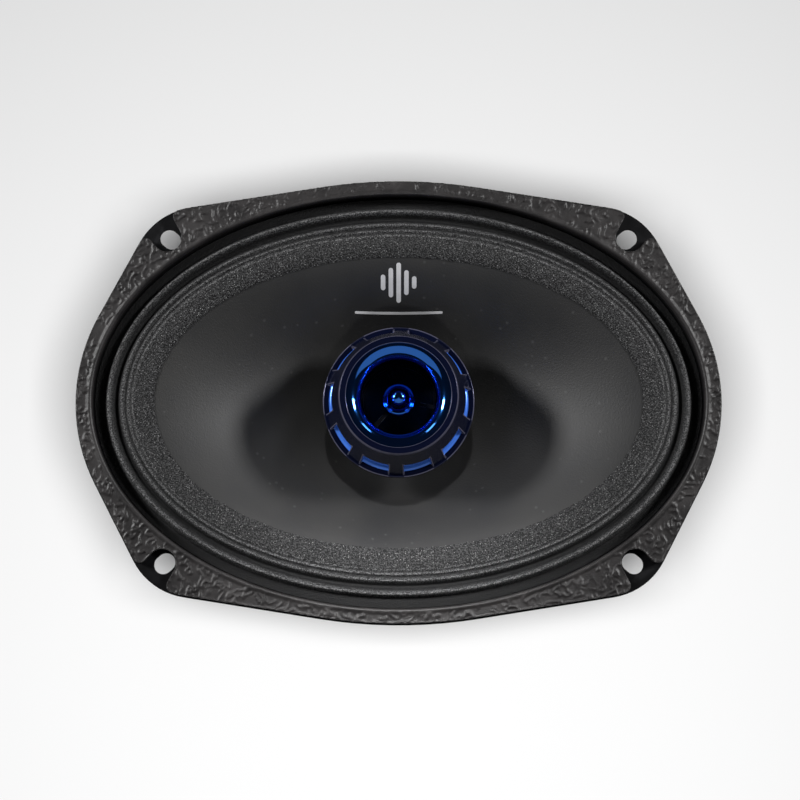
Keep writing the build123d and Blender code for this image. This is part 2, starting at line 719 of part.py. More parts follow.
skirt_foot = ring_r - 0.9
with BuildPart() as tweeter_bezel:
    with BuildSketch(Plane.XZ):
        with BuildLine():
            Polyline(
                (inner_r, ring_z), (ring_r - 0.4, ring_z), (ring_r, ring_z + 0.4),
                (ring_r, ring_z + ring_t - 0.4), (skirt_foot, ring_z + ring_t + 0.5),
                (lip_r + 0.6, lip_top - 2.2), (lip_r, lip_top - 0.5), (lip_r - 0.5, lip_top),
                (mouth_r + 0.4, lip_top), (mouth_r, lip_top - 0.4), (mouth_r, horn_top),
                (horn_rim, horn_top), (horn_rim, horn_top - 3), (inner_r, ring_z + 8), close=True,
            )
        make_face()
    revolve(axis=Axis.Z)
    with BuildSketch(Plane.XY.offset(ring_z + ring_t)):
        Circle(ring_r + 2)
        Circle(ring_r - pocket_depth, mode=Mode.SUBTRACT)
        with PolarLocations(0, pocket_n, start_angle=-2):
            with BuildLine(mode=Mode.PRIVATE) as land:
                low, high = pocket_deg / 2, 360 / pocket_n - pocket_deg / 2
                Polyline((0, 0), polar(2 * ring_r, low), polar(2 * ring_r, high), close=True)
            add(make_face(land.edges(), mode=Mode.PRIVATE), mode=Mode.SUBTRACT)
    extrude(amount=pocket_top, mode=Mode.SUBTRACT)
    with BuildSketch(Plane.XY.offset(ring_z)):
        with PolarLocations(bezel_screw_r, 3, start_angle=30):
            Circle(screw_r)
    extrude(amount=screw_bite, mode=Mode.SUBTRACT)
finish(tweeter_bezel, "tweeter_bezel")

with BuildPart() as bezel_screws:
    with BuildSketch(Plane.XY.offset(flange_low)):
        with PolarLocations(bezel_screw_r, 3, start_angle=30):
            Circle(screw_r)
    extrude(amount=cover_wall + screw_bite)
    with BuildSketch(Plane.XY.offset(flange_low - screw_head_t)):
        with PolarLocations(bezel_screw_r, 3, start_angle=30):
            Circle(screw_head_r)
    extrude(amount=screw_head_t)
finish(bezel_screws, "bezel_screws")
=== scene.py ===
import json
import math

import bmesh
import bpy
import numpy as np
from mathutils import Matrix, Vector, noise


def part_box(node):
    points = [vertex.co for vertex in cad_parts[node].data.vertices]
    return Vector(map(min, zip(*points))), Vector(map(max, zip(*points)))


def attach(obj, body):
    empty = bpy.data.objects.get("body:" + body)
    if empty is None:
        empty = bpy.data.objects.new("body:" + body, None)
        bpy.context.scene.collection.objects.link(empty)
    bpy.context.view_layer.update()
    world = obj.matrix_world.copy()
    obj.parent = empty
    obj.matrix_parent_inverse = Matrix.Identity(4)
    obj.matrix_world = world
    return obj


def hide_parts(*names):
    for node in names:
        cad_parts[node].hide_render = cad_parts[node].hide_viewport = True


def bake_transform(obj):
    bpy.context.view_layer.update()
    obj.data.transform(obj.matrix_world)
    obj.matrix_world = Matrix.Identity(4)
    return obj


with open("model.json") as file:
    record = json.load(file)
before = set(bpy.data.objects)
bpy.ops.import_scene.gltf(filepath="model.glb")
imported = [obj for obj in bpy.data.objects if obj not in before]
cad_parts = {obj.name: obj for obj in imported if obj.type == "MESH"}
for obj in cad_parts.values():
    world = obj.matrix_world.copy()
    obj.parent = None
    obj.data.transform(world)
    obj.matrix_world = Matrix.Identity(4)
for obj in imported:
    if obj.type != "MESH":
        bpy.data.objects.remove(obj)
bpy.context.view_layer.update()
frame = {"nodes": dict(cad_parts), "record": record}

nodes = frame["nodes"]
mm = 0.001
print("frame loaded:", len(nodes), "nodes")


# Handling of one piece at a time

def only(obj):
    if bpy.context.mode != "OBJECT":
        bpy.ops.object.mode_set(mode="OBJECT")
    bpy.ops.object.select_all(action="DESELECT")
    obj.select_set(True)
    bpy.context.view_layer.objects.active = obj
    return obj


def applyAll(obj):
    only(obj)
    for modifier in list(obj.modifiers):
        bpy.ops.object.modifier_apply(modifier=modifier.name)
    return obj


def closeUp(obj, gap=0.002):
    # doubles within gap (mm) become one, and the faces turn outwards
    only(obj)
    bpy.ops.object.mode_set(mode="EDIT")
    bpy.ops.mesh.select_all(action="SELECT")
    bpy.ops.mesh.remove_doubles(threshold=gap * mm)
    bpy.ops.mesh.normals_make_consistent(inside=False)
    bpy.ops.object.mode_set(mode="OBJECT")
    return obj


def smooth(obj, degrees=35):
    only(obj)
    bpy.ops.object.shade_smooth_by_angle(angle=math.radians(degrees))
    return obj


def points(obj):
    found = np.empty(len(obj.data.vertices) * 3)
    obj.data.vertices.foreach_get("co", found)
    return found.reshape(-1, 3)


def setPoints(obj, placed):
    obj.data.vertices.foreach_set("co", placed.astype(np.float32).ravel())
    obj.data.update()


def pointMask(obj, name, values):
    # a value for each point that the piece's finish reads by name
    layer = obj.data.attributes.new(name, "FLOAT", "POINT")
    layer.data.foreach_set("value", values.astype(np.float32))


def unevenness(places, *layers):
    # noise at each place, from layers of (scale, height)
    return np.array([sum(noise.noise(Vector(place) * scale) * height for scale, height in layers)
                     for place in places])


def ringStack(name, rings, around):
    # a circle drawn out ring by ring; each ring is half length, half width and height in mm
    if bpy.context.mode != "OBJECT":
        bpy.ops.object.mode_set(mode="OBJECT")
    bpy.ops.object.select_all(action="DESELECT")
    bpy.ops.mesh.primitive_circle_add(vertices=around, radius=mm, location=(0, 0, 0))
    obj = bpy.context.active_object
    obj.name = name
    bpy.ops.object.mode_set(mode="EDIT")
    bpy.ops.mesh.select_all(action="SELECT")
    a, b, z = rings[0]
    bpy.ops.transform.resize(value=(a, b, 1), center_override=(0, 0, 0))
    bpy.ops.transform.translate(value=(0, 0, z * mm))
    for nextA, nextB, nextZ in rings[1:]:
        bpy.ops.mesh.extrude_region_move(TRANSFORM_OT_translate={"value": (0, 0, (nextZ - z) * mm)})
        bpy.ops.transform.resize(value=(nextA / a, nextB / b, 1), center_override=(0, 0, 0))
        a, b, z = nextA, nextB, nextZ
    bpy.ops.object.mode_set(mode="OBJECT")
    return obj


def easedLine(line, steps=4):
    # a line of (out, up, corner radius) in mm, with every corner turned on an arc
    turned = [Vector(line[0][:2])]
    for before, here, after in zip(line, line[1:], line[2:]):
        corner = Vector(here[:2])
        back, ahead = Vector(before[:2]) - corner, Vector(after[:2]) - corner
        half = back.angle(ahead) / 2
        if here[2] == 0 or half > 1.56:
            turned.append(corner)
            continue
        reach = min(here[2] / math.tan(half), 0.48 * back.length, 0.48 * ahead.length)
        radius = reach * math.tan(half)
        middle = corner + (back.normalized() + ahead.normalized()).normalized() * radius / math.sin(half)
        first = corner + back.normalized() * reach - middle
        last = corner + ahead.normalized() * reach - middle
        sweep = first.angle(last)
        for k in range(steps + 1):
            share = k / steps
            along = first * math.sin((1 - share) * sweep) + last * math.sin(share * sweep)
            turned.append(middle + along / math.sin(sweep))
    turned.append(Vector(line[-1][:2]))
    return turned


def softLine(line, steps=5):
    # a smooth line through (out, up) points in mm
    whole = [Vector(p) for p in line]
    whole = [2 * whole[0] - whole[1]] + whole + [2 * whole[-1] - whole[-2]]
    drawn = []
    for p, q, r, s in zip(whole, whole[1:], whole[2:], whole[3:]):
        for k in range(steps):
            t = k / steps
            drawn.append(0.5 * (2 * q + (r - p) * t + (2 * p - 5 * q + 4 * r - s) * t * t
                                + (3 * q - p - 3 * r + s) * t**3))
    return drawn + [whole[-2]]


def turnedPiece(name, line, around, steps=4):
    # a closed outline of (out, up, corner radius) turned about the speaker's axis
    drawn = easedLine(line, steps)
    rings = [(max(p.x, 0.004), max(p.x, 0.004), p.y) for p in drawn]
    return smooth(closeUp(ringStack(name, rings, around), 0.012))


def mergedCopy(name, node):
    # the CAD node's loose triangles, joined up in a copy
    obj = bpy.data.objects.new(name, nodes[node].data.copy())
    bpy.context.scene.collection.objects.link(obj)
    obj.data.materials.clear()
    return closeUp(obj)


copying = {"flatWithin": 0.6, "turn": 38, "steps": 2, "smoothUnder": 30}  # all but steps in degrees


def easedCopy(node, body, slot, wide, finish=None):
    # a CAD node with its triangles joined into faces and its sharp edges rounded
    obj = mergedCopy(node + "_eased", node)
    low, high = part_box(node)
    bpy.ops.object.mode_set(mode="EDIT")
    bpy.ops.mesh.select_all(action="SELECT")
    bpy.ops.mesh.dissolve_limited(angle_limit=math.radians(copying["flatWithin"]))
    bpy.ops.object.mode_set(mode="OBJECT")
    eased = obj.modifiers.new("eased", "BEVEL")
    eased.width = wide * mm
    eased.segments = copying["steps"]
    eased.limit_method = "ANGLE"
    eased.angle_limit = math.radians(copying["turn"])
    eased.use_clamp_overlap = True
    applyAll(obj)
    placed = points(obj)
    setPoints(obj, np.clip(placed, np.array(low), np.array(high)))
    smooth(obj, copying["smoothUnder"])
    shaded = obj.modifiers.new("shaded", "WEIGHTED_NORMAL")
    shaded.keep_sharp = True
    applyAll(obj)
    obj.data.materials.append(finishes[finish or slot])
    replaceNode(obj, body, finishes[slot], slot, node)
    return obj


def replaceNode(obj, body, finish, slot, *stoodFor):
    if not obj.data.materials:
        obj.data.materials.append(finish)
    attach(obj, body)
    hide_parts(*stoodFor)


# Shader groups: effects that several finishes share

def newGroup(name, inputs, outputs):
    group = bpy.data.node_groups.new(name, "ShaderNodeTree")
    for label, kind, value in inputs:
        socket = group.interface.new_socket(name=label, in_out="INPUT", socket_type=kind)
        if value is not None:
            socket.default_value = value
    for label, kind in outputs:
        group.interface.new_socket(name=label, in_out="OUTPUT", socket_type=kind)
    return group, group.nodes.new("NodeGroupInput"), group.nodes.new("NodeGroupOutput")


def mathNode(tree, operation, first, second=None, third=None):
    node = tree.nodes.new("ShaderNodeMath")
    node.operation = operation
    for place, value in enumerate((first, second, third)):
        if value is None:
            continue
        if isinstance(value, (int, float)):
            node.inputs[place].default_value = value
        else:
            tree.links.new(value, node.inputs[place])
    return node.outputs[0]


def noiseNode(tree, vector, scale, detail=3.0, rough=0.55):
    node = tree.nodes.new("ShaderNodeTexNoise")
    tree.links.new(vector, node.inputs["Vector"])
    if isinstance(scale, (int, float)):
        node.inputs["Scale"].default_value = scale
    else:
        tree.links.new(scale, node.inputs["Scale"])
    node.inputs["Detail"].default_value = detail
    node.inputs["Roughness"].default_value = rough
    return node.outputs["Fac"]


def rangeNode(tree, value, low, high, toLow, toHigh):
    node = tree.nodes.new("ShaderNodeMapRange")
    tree.links.new(value, node.inputs["Value"])
    for label, amount in (("From Min", low), ("From Max", high), ("To Min", toLow), ("To Max", toHigh)):
        if isinstance(amount, (int, float)):
            node.inputs[label].default_value = amount
        else:
            tree.links.new(amount, node.inputs[label])
    return node.outputs["Result"]


def makeGrainGroup():
    # fine surface grain and broad unevenness, each from 0 to 1
    group, given, put = newGroup(
        "surfaceGrain",
        [("Vector", "NodeSocketVector", None), ("Grain Scale", "NodeSocketFloat", 4000.0),
         ("Patch Scale", "NodeSocketFloat", 60.0)],
        [("Grain", "NodeSocketFloat"), ("Patches", "NodeSocketFloat")],
    )
    grain = noiseNode(group, given.outputs["Vector"], given.outputs["Grain Scale"], 2.0, 0.6)
    patches = noiseNode(group, given.outputs["Vector"], given.outputs["Patch Scale"], 4.0, 0.55)
    group.links.new(grain, put.inputs["Grain"])
    group.links.new(patches, put.inputs["Patches"])
    return group


def makeFleckGroup():
    # sparse light flecks of dust and fibre
    group, given, put = newGroup(
        "dustFlecks",
        [("Vector", "NodeSocketVector", None), ("Scale", "NodeSocketFloat", 900.0),
         ("Share", "NodeSocketFloat", 0.1)],
        [("Mask", "NodeSocketFloat")],
    )
    cells = group.nodes.new("ShaderNodeTexVoronoi")
    group.links.new(given.outputs["Vector"], cells.inputs["Vector"])
    group.links.new(given.outputs["Scale"], cells.inputs["Scale"])
    spot = rangeNode(group, cells.outputs["Distance"], 0.12, 0.32, 1.0, 0.0)
    parted = group.nodes.new("ShaderNodeSeparateColor")
    group.links.new(cells.outputs["Color"], parted.inputs["Color"])
    chosen = mathNode(group, "LESS_THAN", parted.outputs[0], given.outputs["Share"])
    group.links.new(mathNode(group, "MULTIPLY", spot, chosen), put.inputs["Mask"])
    return group


def makeWeaveGroup():
    # plain weave over a piece's own around-and-across map, in mm
    group, given, put = newGroup(
        "plainWeave",
        [("Vector", "NodeSocketVector", None), ("Pitch", "NodeSocketFloat", 0.8)],
        [("Height", "NodeSocketFloat")],
    )
    parted = group.nodes.new("ShaderNodeSeparateXYZ")
    group.links.new(given.outputs["Vector"], parted.inputs[0])
    waves = []
    for axis in (0, 1):
        turns = mathNode(group, "DIVIDE", parted.outputs[axis], given.outputs["Pitch"])
        waves.append(mathNode(group, "SINE", mathNode(group, "MULTIPLY", turns, math.pi)))
    crossed = mathNode(group, "MULTIPLY", waves[0], waves[1])
    group.links.new(rangeNode(group, crossed, -1.0, 1.0, 0.0, 1.0), put.inputs["Height"])
    return group


def makeEdgeGroup():
    # 1 on raised edges, broken up a little, for worn paint and bright rims
    group, given, put = newGroup(
        "wornEdges",
        [("Vector", "NodeSocketVector", None), ("Break Scale", "NodeSocketFloat", 300.0)],
        [("Mask", "NodeSocketFloat")],
    )
    shape = group.nodes.new("ShaderNodeNewGeometry")
    raised = rangeNode(group, shape.outputs["Pointiness"], 0.52, 0.58, 0.0, 1.0)
    broken = rangeNode(group, noiseNode(group, given.outputs["Vector"], given.outputs["Break Scale"]),
                       0.35, 0.6, 0.0, 1.0)
    group.links.new(mathNode(group, "MULTIPLY", raised, broken), put.inputs["Mask"])
    return group


groups = {
    "grain": makeGrainGroup(),
    "flecks": makeFleckGroup(),
    "weave": makeWeaveGroup(),
    "edges": makeEdgeGroup(),
}
print("shader groups made")


# Finishes

class Finish:
    # a material with its shader at hand and short calls for what goes into it
    def __init__(self, name, colour, roughness, metallic=0.0, shine=0.5):
        self.material = bpy.data.materials.new(name)
        self.material.use_nodes = True
        self.tree = self.material.node_tree
        self.shader = self.tree.nodes["Principled BSDF"]
        self.shader.inputs["Base Color"].default_value = (*colour, 1)
        self.shader.inputs["Roughness"].default_value = roughness
        self.shader.inputs["Metallic"].default_value = metallic
        self.shader.inputs["Specular IOR Level"].default_value = shine
        self.coordinates = self.tree.nodes.new("ShaderNodeTexCoord")
        self.colour = colour

    def place(self, source="Object"):
        return self.coordinates.outputs[source]

    def group(self, key, source="Object", **values):
        node = self.tree.nodes.new("ShaderNodeGroup")
        node.node_tree = groups[key]
        self.tree.links.new(self.place(source), node.inputs["Vector"])
        for label, value in values.items():
            node.inputs[label.replace("_", " ")].default_value = value
        return node

    def tint(self, mask, other, before=None):
        # the base colour turns to other where mask is 1
        mix = self.tree.nodes.new("ShaderNodeMix")
        mix.data_type = "RGBA"
        self.tree.links.new(mask, mix.inputs["Factor"])
        if before is None:
            mix.inputs["A"].default_value = (*self.colour, 1)
        else:
            self.tree.links.new(before, mix.inputs["A"])
        mix.inputs["B"].default_value = (*other, 1)
        self.tree.links.new(mix.outputs["Result"], self.shader.inputs["Base Color"])
        return mix.outputs["Result"]

    def share(self, value, low, high):
        # 0 up to low and 1 from high on
        return rangeNode(self.tree, value, low, high, 0.0, 1.0)

    def rough(self, mask, low, high):
        spread = rangeNode(self.tree, mask, 0.0, 1.0, low, high)
        self.tree.links.new(spread, self.shader.inputs["Roughness"])

    def mask(self, name):
        # a mask that the piece carries on its points
        node = self.tree.nodes.new("ShaderNodeAttribute")
        node.attribute_name = name
        return node.outputs["Fac"]

    def bump(self, *heights):
        # each height is (value, distance in mm, strength)
        normal = None
        for value, distance, strength in heights:
            node = self.tree.nodes.new("ShaderNodeBump")
            node.inputs["Distance"].default_value = distance * mm
            node.inputs["Strength"].default_value = strength
            self.tree.links.new(value, node.inputs["Height"])
            if normal is not None:
                self.tree.links.new(normal, node.inputs["Normal"])
            normal = node.outputs["Normal"]
        self.tree.links.new(normal, self.shader.inputs["Normal"])


def makeGasketFoam():
    foam = Finish("gasketFoam", (0.0145, 0.0133, 0.0135), 0.5, shine=0.4)
    skin = foam.group("grain", Grain_Scale=1900.0, Patch_Scale=120.0)
    foam.tint(foam.share(skin.outputs["Patches"], 0.35, 0.7), (0.03, 0.0275, 0.0275))
    foam.rough(skin.outputs["Patches"], 0.36, 0.56)
    foam.bump((skin.outputs["Grain"], 0.12, 0.6))
    return foam.material


def makeBlackEnamel():
    enamel = Finish("blackEnamel", (0.0035, 0.0035, 0.004), 0.36, shine=0.25)
    skin = enamel.group("grain", Grain_Scale=1500.0, Patch_Scale=35.0)
    wearAndPaintedHighlight = enamel.group("edges", Break_Scale=260.0)
    enamel.tint(wearAndPaintedHighlight.outputs["Mask"], (0.012, 0.012, 0.013))
    enamel.rough(skin.outputs["Patches"], 0.28, 0.42)
    enamel.bump((skin.outputs["Grain"], 0.04, 0.35))
    return enamel.material


def makeEdgeCloth():
    # doped black cloth with a fibrous weave; the pleats' crests are painted lighter, with bright fibre specks
    # on them, as painted highlights
    cloth = Finish("edgeCloth", (0.0022, 0.0022, 0.0025), 0.6, shine=0.25)
    weave = cloth.group("weave", "UV", Pitch=0.45)
    skin = cloth.group("grain", Grain_Scale=2100.0, Patch_Scale=160.0)
    crest = cloth.mask("crest")
    fibres = cloth.share(skin.outputs["Grain"], 0.47, 0.58)
    paintedCrestGlints = mathNode(cloth.tree, "MULTIPLY", fibres, crest)
    # painted highlight: a lighter colour on the crests, and bright specks where the grain rises there
    wearAndPaintedHighlight = cloth.tint(crest, (0.014, 0.014, 0.0145))
    cloth.tint(paintedCrestGlints, (0.15, 0.15, 0.152), wearAndPaintedHighlight)
    cloth.rough(skin.outputs["Patches"], 0.5, 0.72)
    cloth.bump((weave.outputs["Height"], 0.05, 0.5), (skin.outputs["Grain"], 0.3, 1.0))
    return cloth.material


def makeFlapCloth():
    # rough, open cloth glued over the cone's edge
    cloth = Finish("flapCloth", (0.003, 0.003, 0.0033), 0.7, shine=0.3)
    skin = cloth.group("grain", Grain_Scale=1900.0, Patch_Scale=300.0)
    flecks = cloth.group("flecks", Scale=1700.0, Share=0.3)
    paler = cloth.tint(cloth.share(skin.outputs["Grain"], 0.46, 0.58), (0.05, 0.05, 0.051))
    cloth.tint(flecks.outputs["Mask"], (0.3, 0.3, 0.3), paler)
    cloth.bump((skin.outputs["Grain"], 0.5, 1.0))
    return cloth.material


def makeConePaper():
    paper = Finish("conePaper", (0.0095, 0.0097, 0.0107), 0.55, shine=0.5)
    skin = paper.group("grain", Grain_Scale=1500.0, Patch_Scale=26.0)
    flecks = paper.group("flecks", Scale=420.0, Share=0.06)
    mottled = paper.tint(paper.share(skin.outputs["Patches"], 0.3, 0.7), (0.0205, 0.0198, 0.019))
    paper.tint(mathNode(paper.tree, "MULTIPLY", flecks.outputs["Mask"], 0.3), (0.09, 0.09, 0.09), mottled)
    paper.rough(skin.outputs["Patches"], 0.5, 0.62)
    paper.bump((skin.outputs["Grain"], 0.12, 0.6), (skin.outputs["Patches"], 0.3, 0.3))
    return paper.material


def makeBluePlate():
    plate = Finish("bluePlate", (0.02, 0.15, 0.58), 0.08, 1.0)
    plate.shader.inputs["Coat Weight"].default_value = 0.5
    plate.shader.inputs["Coat Roughness"].default_value = 0.06
    skin = plate.group("grain", Grain_Scale=1200.0, Patch_Scale=70.0)
    plate.rough(skin.outputs["Patches"], 0.06, 0.11)
    plate.bump((skin.outputs["Grain"], 0.001, 0.2))
    return plate.material


def makeNavyPlate():
    # dark on its broad faces, with painted highlights: bright violet-grey lines wherever the 'rim' mask is
    # set
    plate = Finish("navyPlate", (0.004, 0.006, 0.022), 0.25, 0.4, shine=0.12)
    skin = plate.group("grain", Grain_Scale=1400.0, Patch_Scale=90.0)
    # painted highlight: the 'rim' mask turns the colour bright violet-grey
    plate.tint(plate.mask("rim"), (0.13, 0.13, 0.19))
    plate.rough(skin.outputs["Patches"], 0.16, 0.28)
    plate.bump((skin.outputs["Grain"], 0.004, 0.25))
    return plate.material


def makePlain(name, colour, roughness, metallic=0.0, grain=0.03, spread=0.08, scale=1500.0, shine=0.5):
    # moulded, plated or rubbery finishes that differ only in these values
    plain = Finish(name, colour, roughness, metallic, shine)
    skin = plain.group("grain", Grain_Scale=scale, Patch_Scale=70.0)
    shade = tuple(min(1.0, c * 1.35 + 0.004) for c in colour)
    plain.tint(plain.share(skin.outputs["Patches"], 0.4, 0.68), shade)
    plain.rough(skin.outputs["Patches"], roughness - spread, roughness + spread)
    plain.bump((skin.outputs["Grain"], grain, 0.5))
    return plain.material


def makeWoundWire():
    # fine turns of wire, one above another
    pitch = 0.3 * mm
    wire = Finish("woundCopper", (0.5, 0.17, 0.06), 0.3, 1.0)
    skin = wire.group("grain", Grain_Scale=900.0, Patch_Scale=80.0)
    parted = wire.tree.nodes.new("ShaderNodeSeparateXYZ")
    wire.tree.links.new(wire.place(), parted.inputs[0])
    phase = mathNode(wire.tree, "MULTIPLY", parted.outputs[2], 2 * math.pi / pitch)
    turns = mathNode(wire.tree, "SINE", phase)
    wire.rough(skin.outputs["Patches"], 0.22, 0.4)
    wire.bump((turns, 0.1, 0.8))
    return wire.material


finishes = {
    "black_steel": makeBlackEnamel(),
    "gasket_foam": makeGasketFoam(),
    "surround_cloth": makeEdgeCloth(),
    "flap_cloth": makeFlapCloth(),
    "cone_paper": makeConePaper(),
    "blue_chrome": makeBluePlate(),
    "dark_blue_chrome": makeNavyPlate(),
    # painted reflection: the plated pockets take a brighter, less metallic blue than the bezel, so that the
    # lamps light them blue
    "pocket_blue": makePlain("pocketReflectionBlue", (0.06, 0.2, 0.72), 0.22, 0.3, grain=0.01),
    # painted shade: a darker, duller copy of the moulded black, so that the bridge sinks into the throat's
    # shadow
    "bridge_shaded_black": makePlain("bridgeShadedBlack", (0.0015, 0.0015, 0.002), 0.85, shine=0.08),
    # painted glint: the bridge's rails are a lighter grey than the black bridge
    "rail_glint_grey": makePlain("railGlintGrey", (0.05, 0.05, 0.055), 0.5),
    "copper_wire": makeWoundWire(),
    "spider_cloth": makePlain("spiderCloth", (0.36, 0.2, 0.055), 0.6, grain=0.12, scale=1800.0),
    "former_foil": makePlain("formerFoil", (0.7, 0.7, 0.71), 0.3, 1.0),
    "plated_steel": makePlain("zincPlate", (0.42, 0.43, 0.45), 0.32, 1.0, grain=0.02),
    "ferrite": makePlain("ferrite", (0.035, 0.035, 0.038), 0.55, grain=0.08, scale=900.0),
    "neodymium": makePlain("nickelPlate", (0.6, 0.6, 0.62), 0.2, 1.0),
    "phenolic": makePlain("fibreBoard", (0.1, 0.035, 0.012), 0.5, grain=0.05),
    "tinned_brass": makePlain("tinnedBrass", (0.66, 0.6, 0.42), 0.28, 1.0),
    "solder": makePlain("solder", (0.55, 0.55, 0.57), 0.3, 1.0, grain=0.06, scale=600.0),
    "tinsel_braid": makePlain("tinselBraid", (0.42, 0.22, 0.09), 0.45, 0.6, grain=0.12, scale=2500.0),
    "capacitor_film": makePlain("capacitorSleeve", (0.012, 0.016, 0.06), 0.3),
    "hot_glue": makePlain("glueBead", (0.6, 0.56, 0.45), 0.35),
    "wire_red": makePlain("redInsulation", (0.3, 0.01, 0.01), 0.4),
    "wire_black": makePlain("blackInsulation", (0.012, 0.012, 0.012), 0.4),
    "alloy": makePlain("turnedAlloy", (0.62, 0.63, 0.65), 0.3, 1.0),
    "black_plastic": makePlain("mouldedBlack", (0.004, 0.004, 0.0045), 0.5, shine=0.2),
    "foam": makePlain("cellFoam", (0.02, 0.02, 0.02), 0.85, grain=0.2, scale=700.0),
    # painted shade: the dome film is near black and dull, so that the deep throat reads dark
    "dome_film": makePlain("domeFilm", (0.0025, 0.0025, 0.003), 0.8, shine=0.1),
    "black_oxide": makePlain("blackOxide", (0.02, 0.02, 0.022), 0.35, 0.8),
    "mark_ink": makePlain("paleInk", (0.5, 0.5, 0.51), 0.5),
}
for part in frame["record"]["subparts"]:
    nodes[part["node"]].data.materials.clear()
    nodes[part["node"]].data.materials.append(finishes[part["material_slot"]])
print("finishes made:", len(finishes))


# The oval that the basket opens with, and the cone's face under it

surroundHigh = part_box("surround")[1]
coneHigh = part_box("cone")[1]
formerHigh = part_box("voice_coil_former")[1]
opening = {
    "x": surroundHigh.x / mm + 0.3, "y": surroundHigh.y / mm + 0.3, "outermost": -3.0, "innermost": 60.0,
}
halvings = 30
cone = {
    "neck": formerHigh.x / mm, "neckUp": formerHigh.z / mm - 1,
    "edgeX": coneHigh.x / mm - 2.5, "edgeY": coneHigh.y / mm - 2.5, "edgeUp": coneHigh.z / mm,
    "lip": 2.5, "flare": 1.4, "paper": 0.7, "underOut": 0.4, "around": 360, "rings": 56,
}


def coneShare(share):
    # half length, half width and height of the cone's face at a share of the way out
    out = 1 - (1 - share) ** cone["flare"]
    return (
        cone["neck"] + (cone["edgeX"] - cone["neck"]) * share,
        cone["neck"] + (cone["edgeY"] - cone["neck"]) * share,
        cone["neckUp"] + (cone["edgeUp"] - cone["neckUp"]) * out,
    )


def coneHeight(x, y):
    # height of the cone's face, in mm, above each place
    low, high = np.zeros_like(x), np.ones_like(x)
    for halving in range(halvings):
        middle = (low + high) / 2
        a, b, up = coneShare(middle)
        inside = (x / a) ** 2 + (y / b) ** 2 < 1
        high = np.where(inside, middle, high)
        low = np.where(inside, low, middle)
    return coneShare((low + high) / 2)[2]


def makeCone():
    # the paper's face and underside, with a level lip around the edge
    paper, lip, edgeUp = cone["paper"], cone["lip"], cone["edgeUp"]
    rings = [coneShare(k / cone["rings"]) for k in range(cone["rings"] + 1)]
    for step in (0.5, 1.0):
        rings.append((cone["edgeX"] + lip * step, cone["edgeY"] + lip * step, edgeUp))
    more = paper * cone["underOut"]
    under = [(a + more, b + more, up - paper) for a, b, up in rings[:-2]]
    under.append((rings[-1][0], rings[-1][1], edgeUp - paper))
    under[0] = (rings[0][0], rings[0][1], under[0][2])
    obj = ringStack("cone_shell", rings + under[::-1] + rings[:1], cone["around"])
    smooth(closeUp(obj))
    replaceNode(obj, "cone", finishes["cone_paper"], "cone_paper", "cone")
    return obj


coneShell = makeCone()
print("cone made")


# Cloth surround: pleats from the basket to the cone, then a rough flap glued on the cone

surround = {
    # each pleat point is inset and height; each crest is inset and half width
    "pleats": [(0.3, -1.75), (2.0, -1.75), (3.5, -1.7), (4.2, -0.6), (5.2, 0.75), (6.3, -0.2), (7.2, -1.9),
               (8.3, -2.3), (9.2, -1.3), (10.1, -0.45), (11.0, -1.15), (11.6, -1.3), (12.3, -0.75),
               (13.1, -1.35), (13.9, -1.1), (14.6, -0.95)],
    "crests": [(5.3, 1.2), (10.1, 0.8), (12.4, 0.6), (14.3, 0.8)],
    "steps": 4, "thick": 0.5, "around": 640, "puff": ((1100, 0.05), (240, 0.06)), "puffFrom": 0.5,
    "puffOver": 3, "followFrom": 3.6, "followTo": 14.0,
}
flap = {
    "under": 0.25, "end": 21.8, "rings": 16, "ragged": ((700, 0.35), (260, 0.3)), "nap": (1500, 0.09),
    "lift": 0.22, "thinning": 0.75, "step": 2.2, "stepTall": 0.25, "wall": 0.18,
}


def mapAround(obj, inset):
    # UV of arc length by inset, both in mm, so that the weave follows the oval
    layer = obj.data.uv_layers.new(name="UVMap")
    placed = points(obj) / mm
    angle = np.arctan2(placed[:, 1] / opening["y"], placed[:, 0] / opening["x"])
    lap = math.pi * (opening["x"] + opening["y"])
    corners = np.empty(len(obj.data.loops), np.int64)
    obj.data.loops.foreach_get("vertex_index", corners)
    u = (angle[corners] / (2 * math.pi) + 0.5) * lap
    starts = np.empty(len(obj.data.polygons), np.int64)
    totals = np.empty(len(obj.data.polygons), np.int64)
    obj.data.polygons.foreach_get("loop_start", starts)
    obj.data.polygons.foreach_get("loop_total", totals)
    owner = np.repeat(np.arange(len(starts)), totals)
    top = np.zeros(len(starts))
    np.maximum.at(top, owner, u)
    u = np.where(top[owner] - u > lap / 2, u + lap, u)
    layer.data.foreach_set("uv", np.column_stack((u, inset[corners])).astype(np.float32).ravel())


def insetOf(placed):
    # how far in from the opening each place lies, in mm, counting by nested ovals
    low = np.full(len(placed), opening["outermost"])
    high = np.full(len(placed), opening["innermost"])
    for halving in range(halvings):
        middle = (low + high) / 2
        a, b = opening["x"] - middle, opening["y"] - middle
        inside = (placed[:, 0] / a) ** 2 + (placed[:, 1] / b) ** 2 < 1
        low = np.where(inside, middle, low)
        high = np.where(inside, high, middle)
    return (low + high) / 2


def followRadially(weight):
    # a point's share of the cone's motion, 0 at the basket and 1 at the cone, smoothed; the result is neither
    # returned nor kept
    eased = np.clip(weight, 0, 1)
    eased = eased * eased * (3 - 2 * eased)


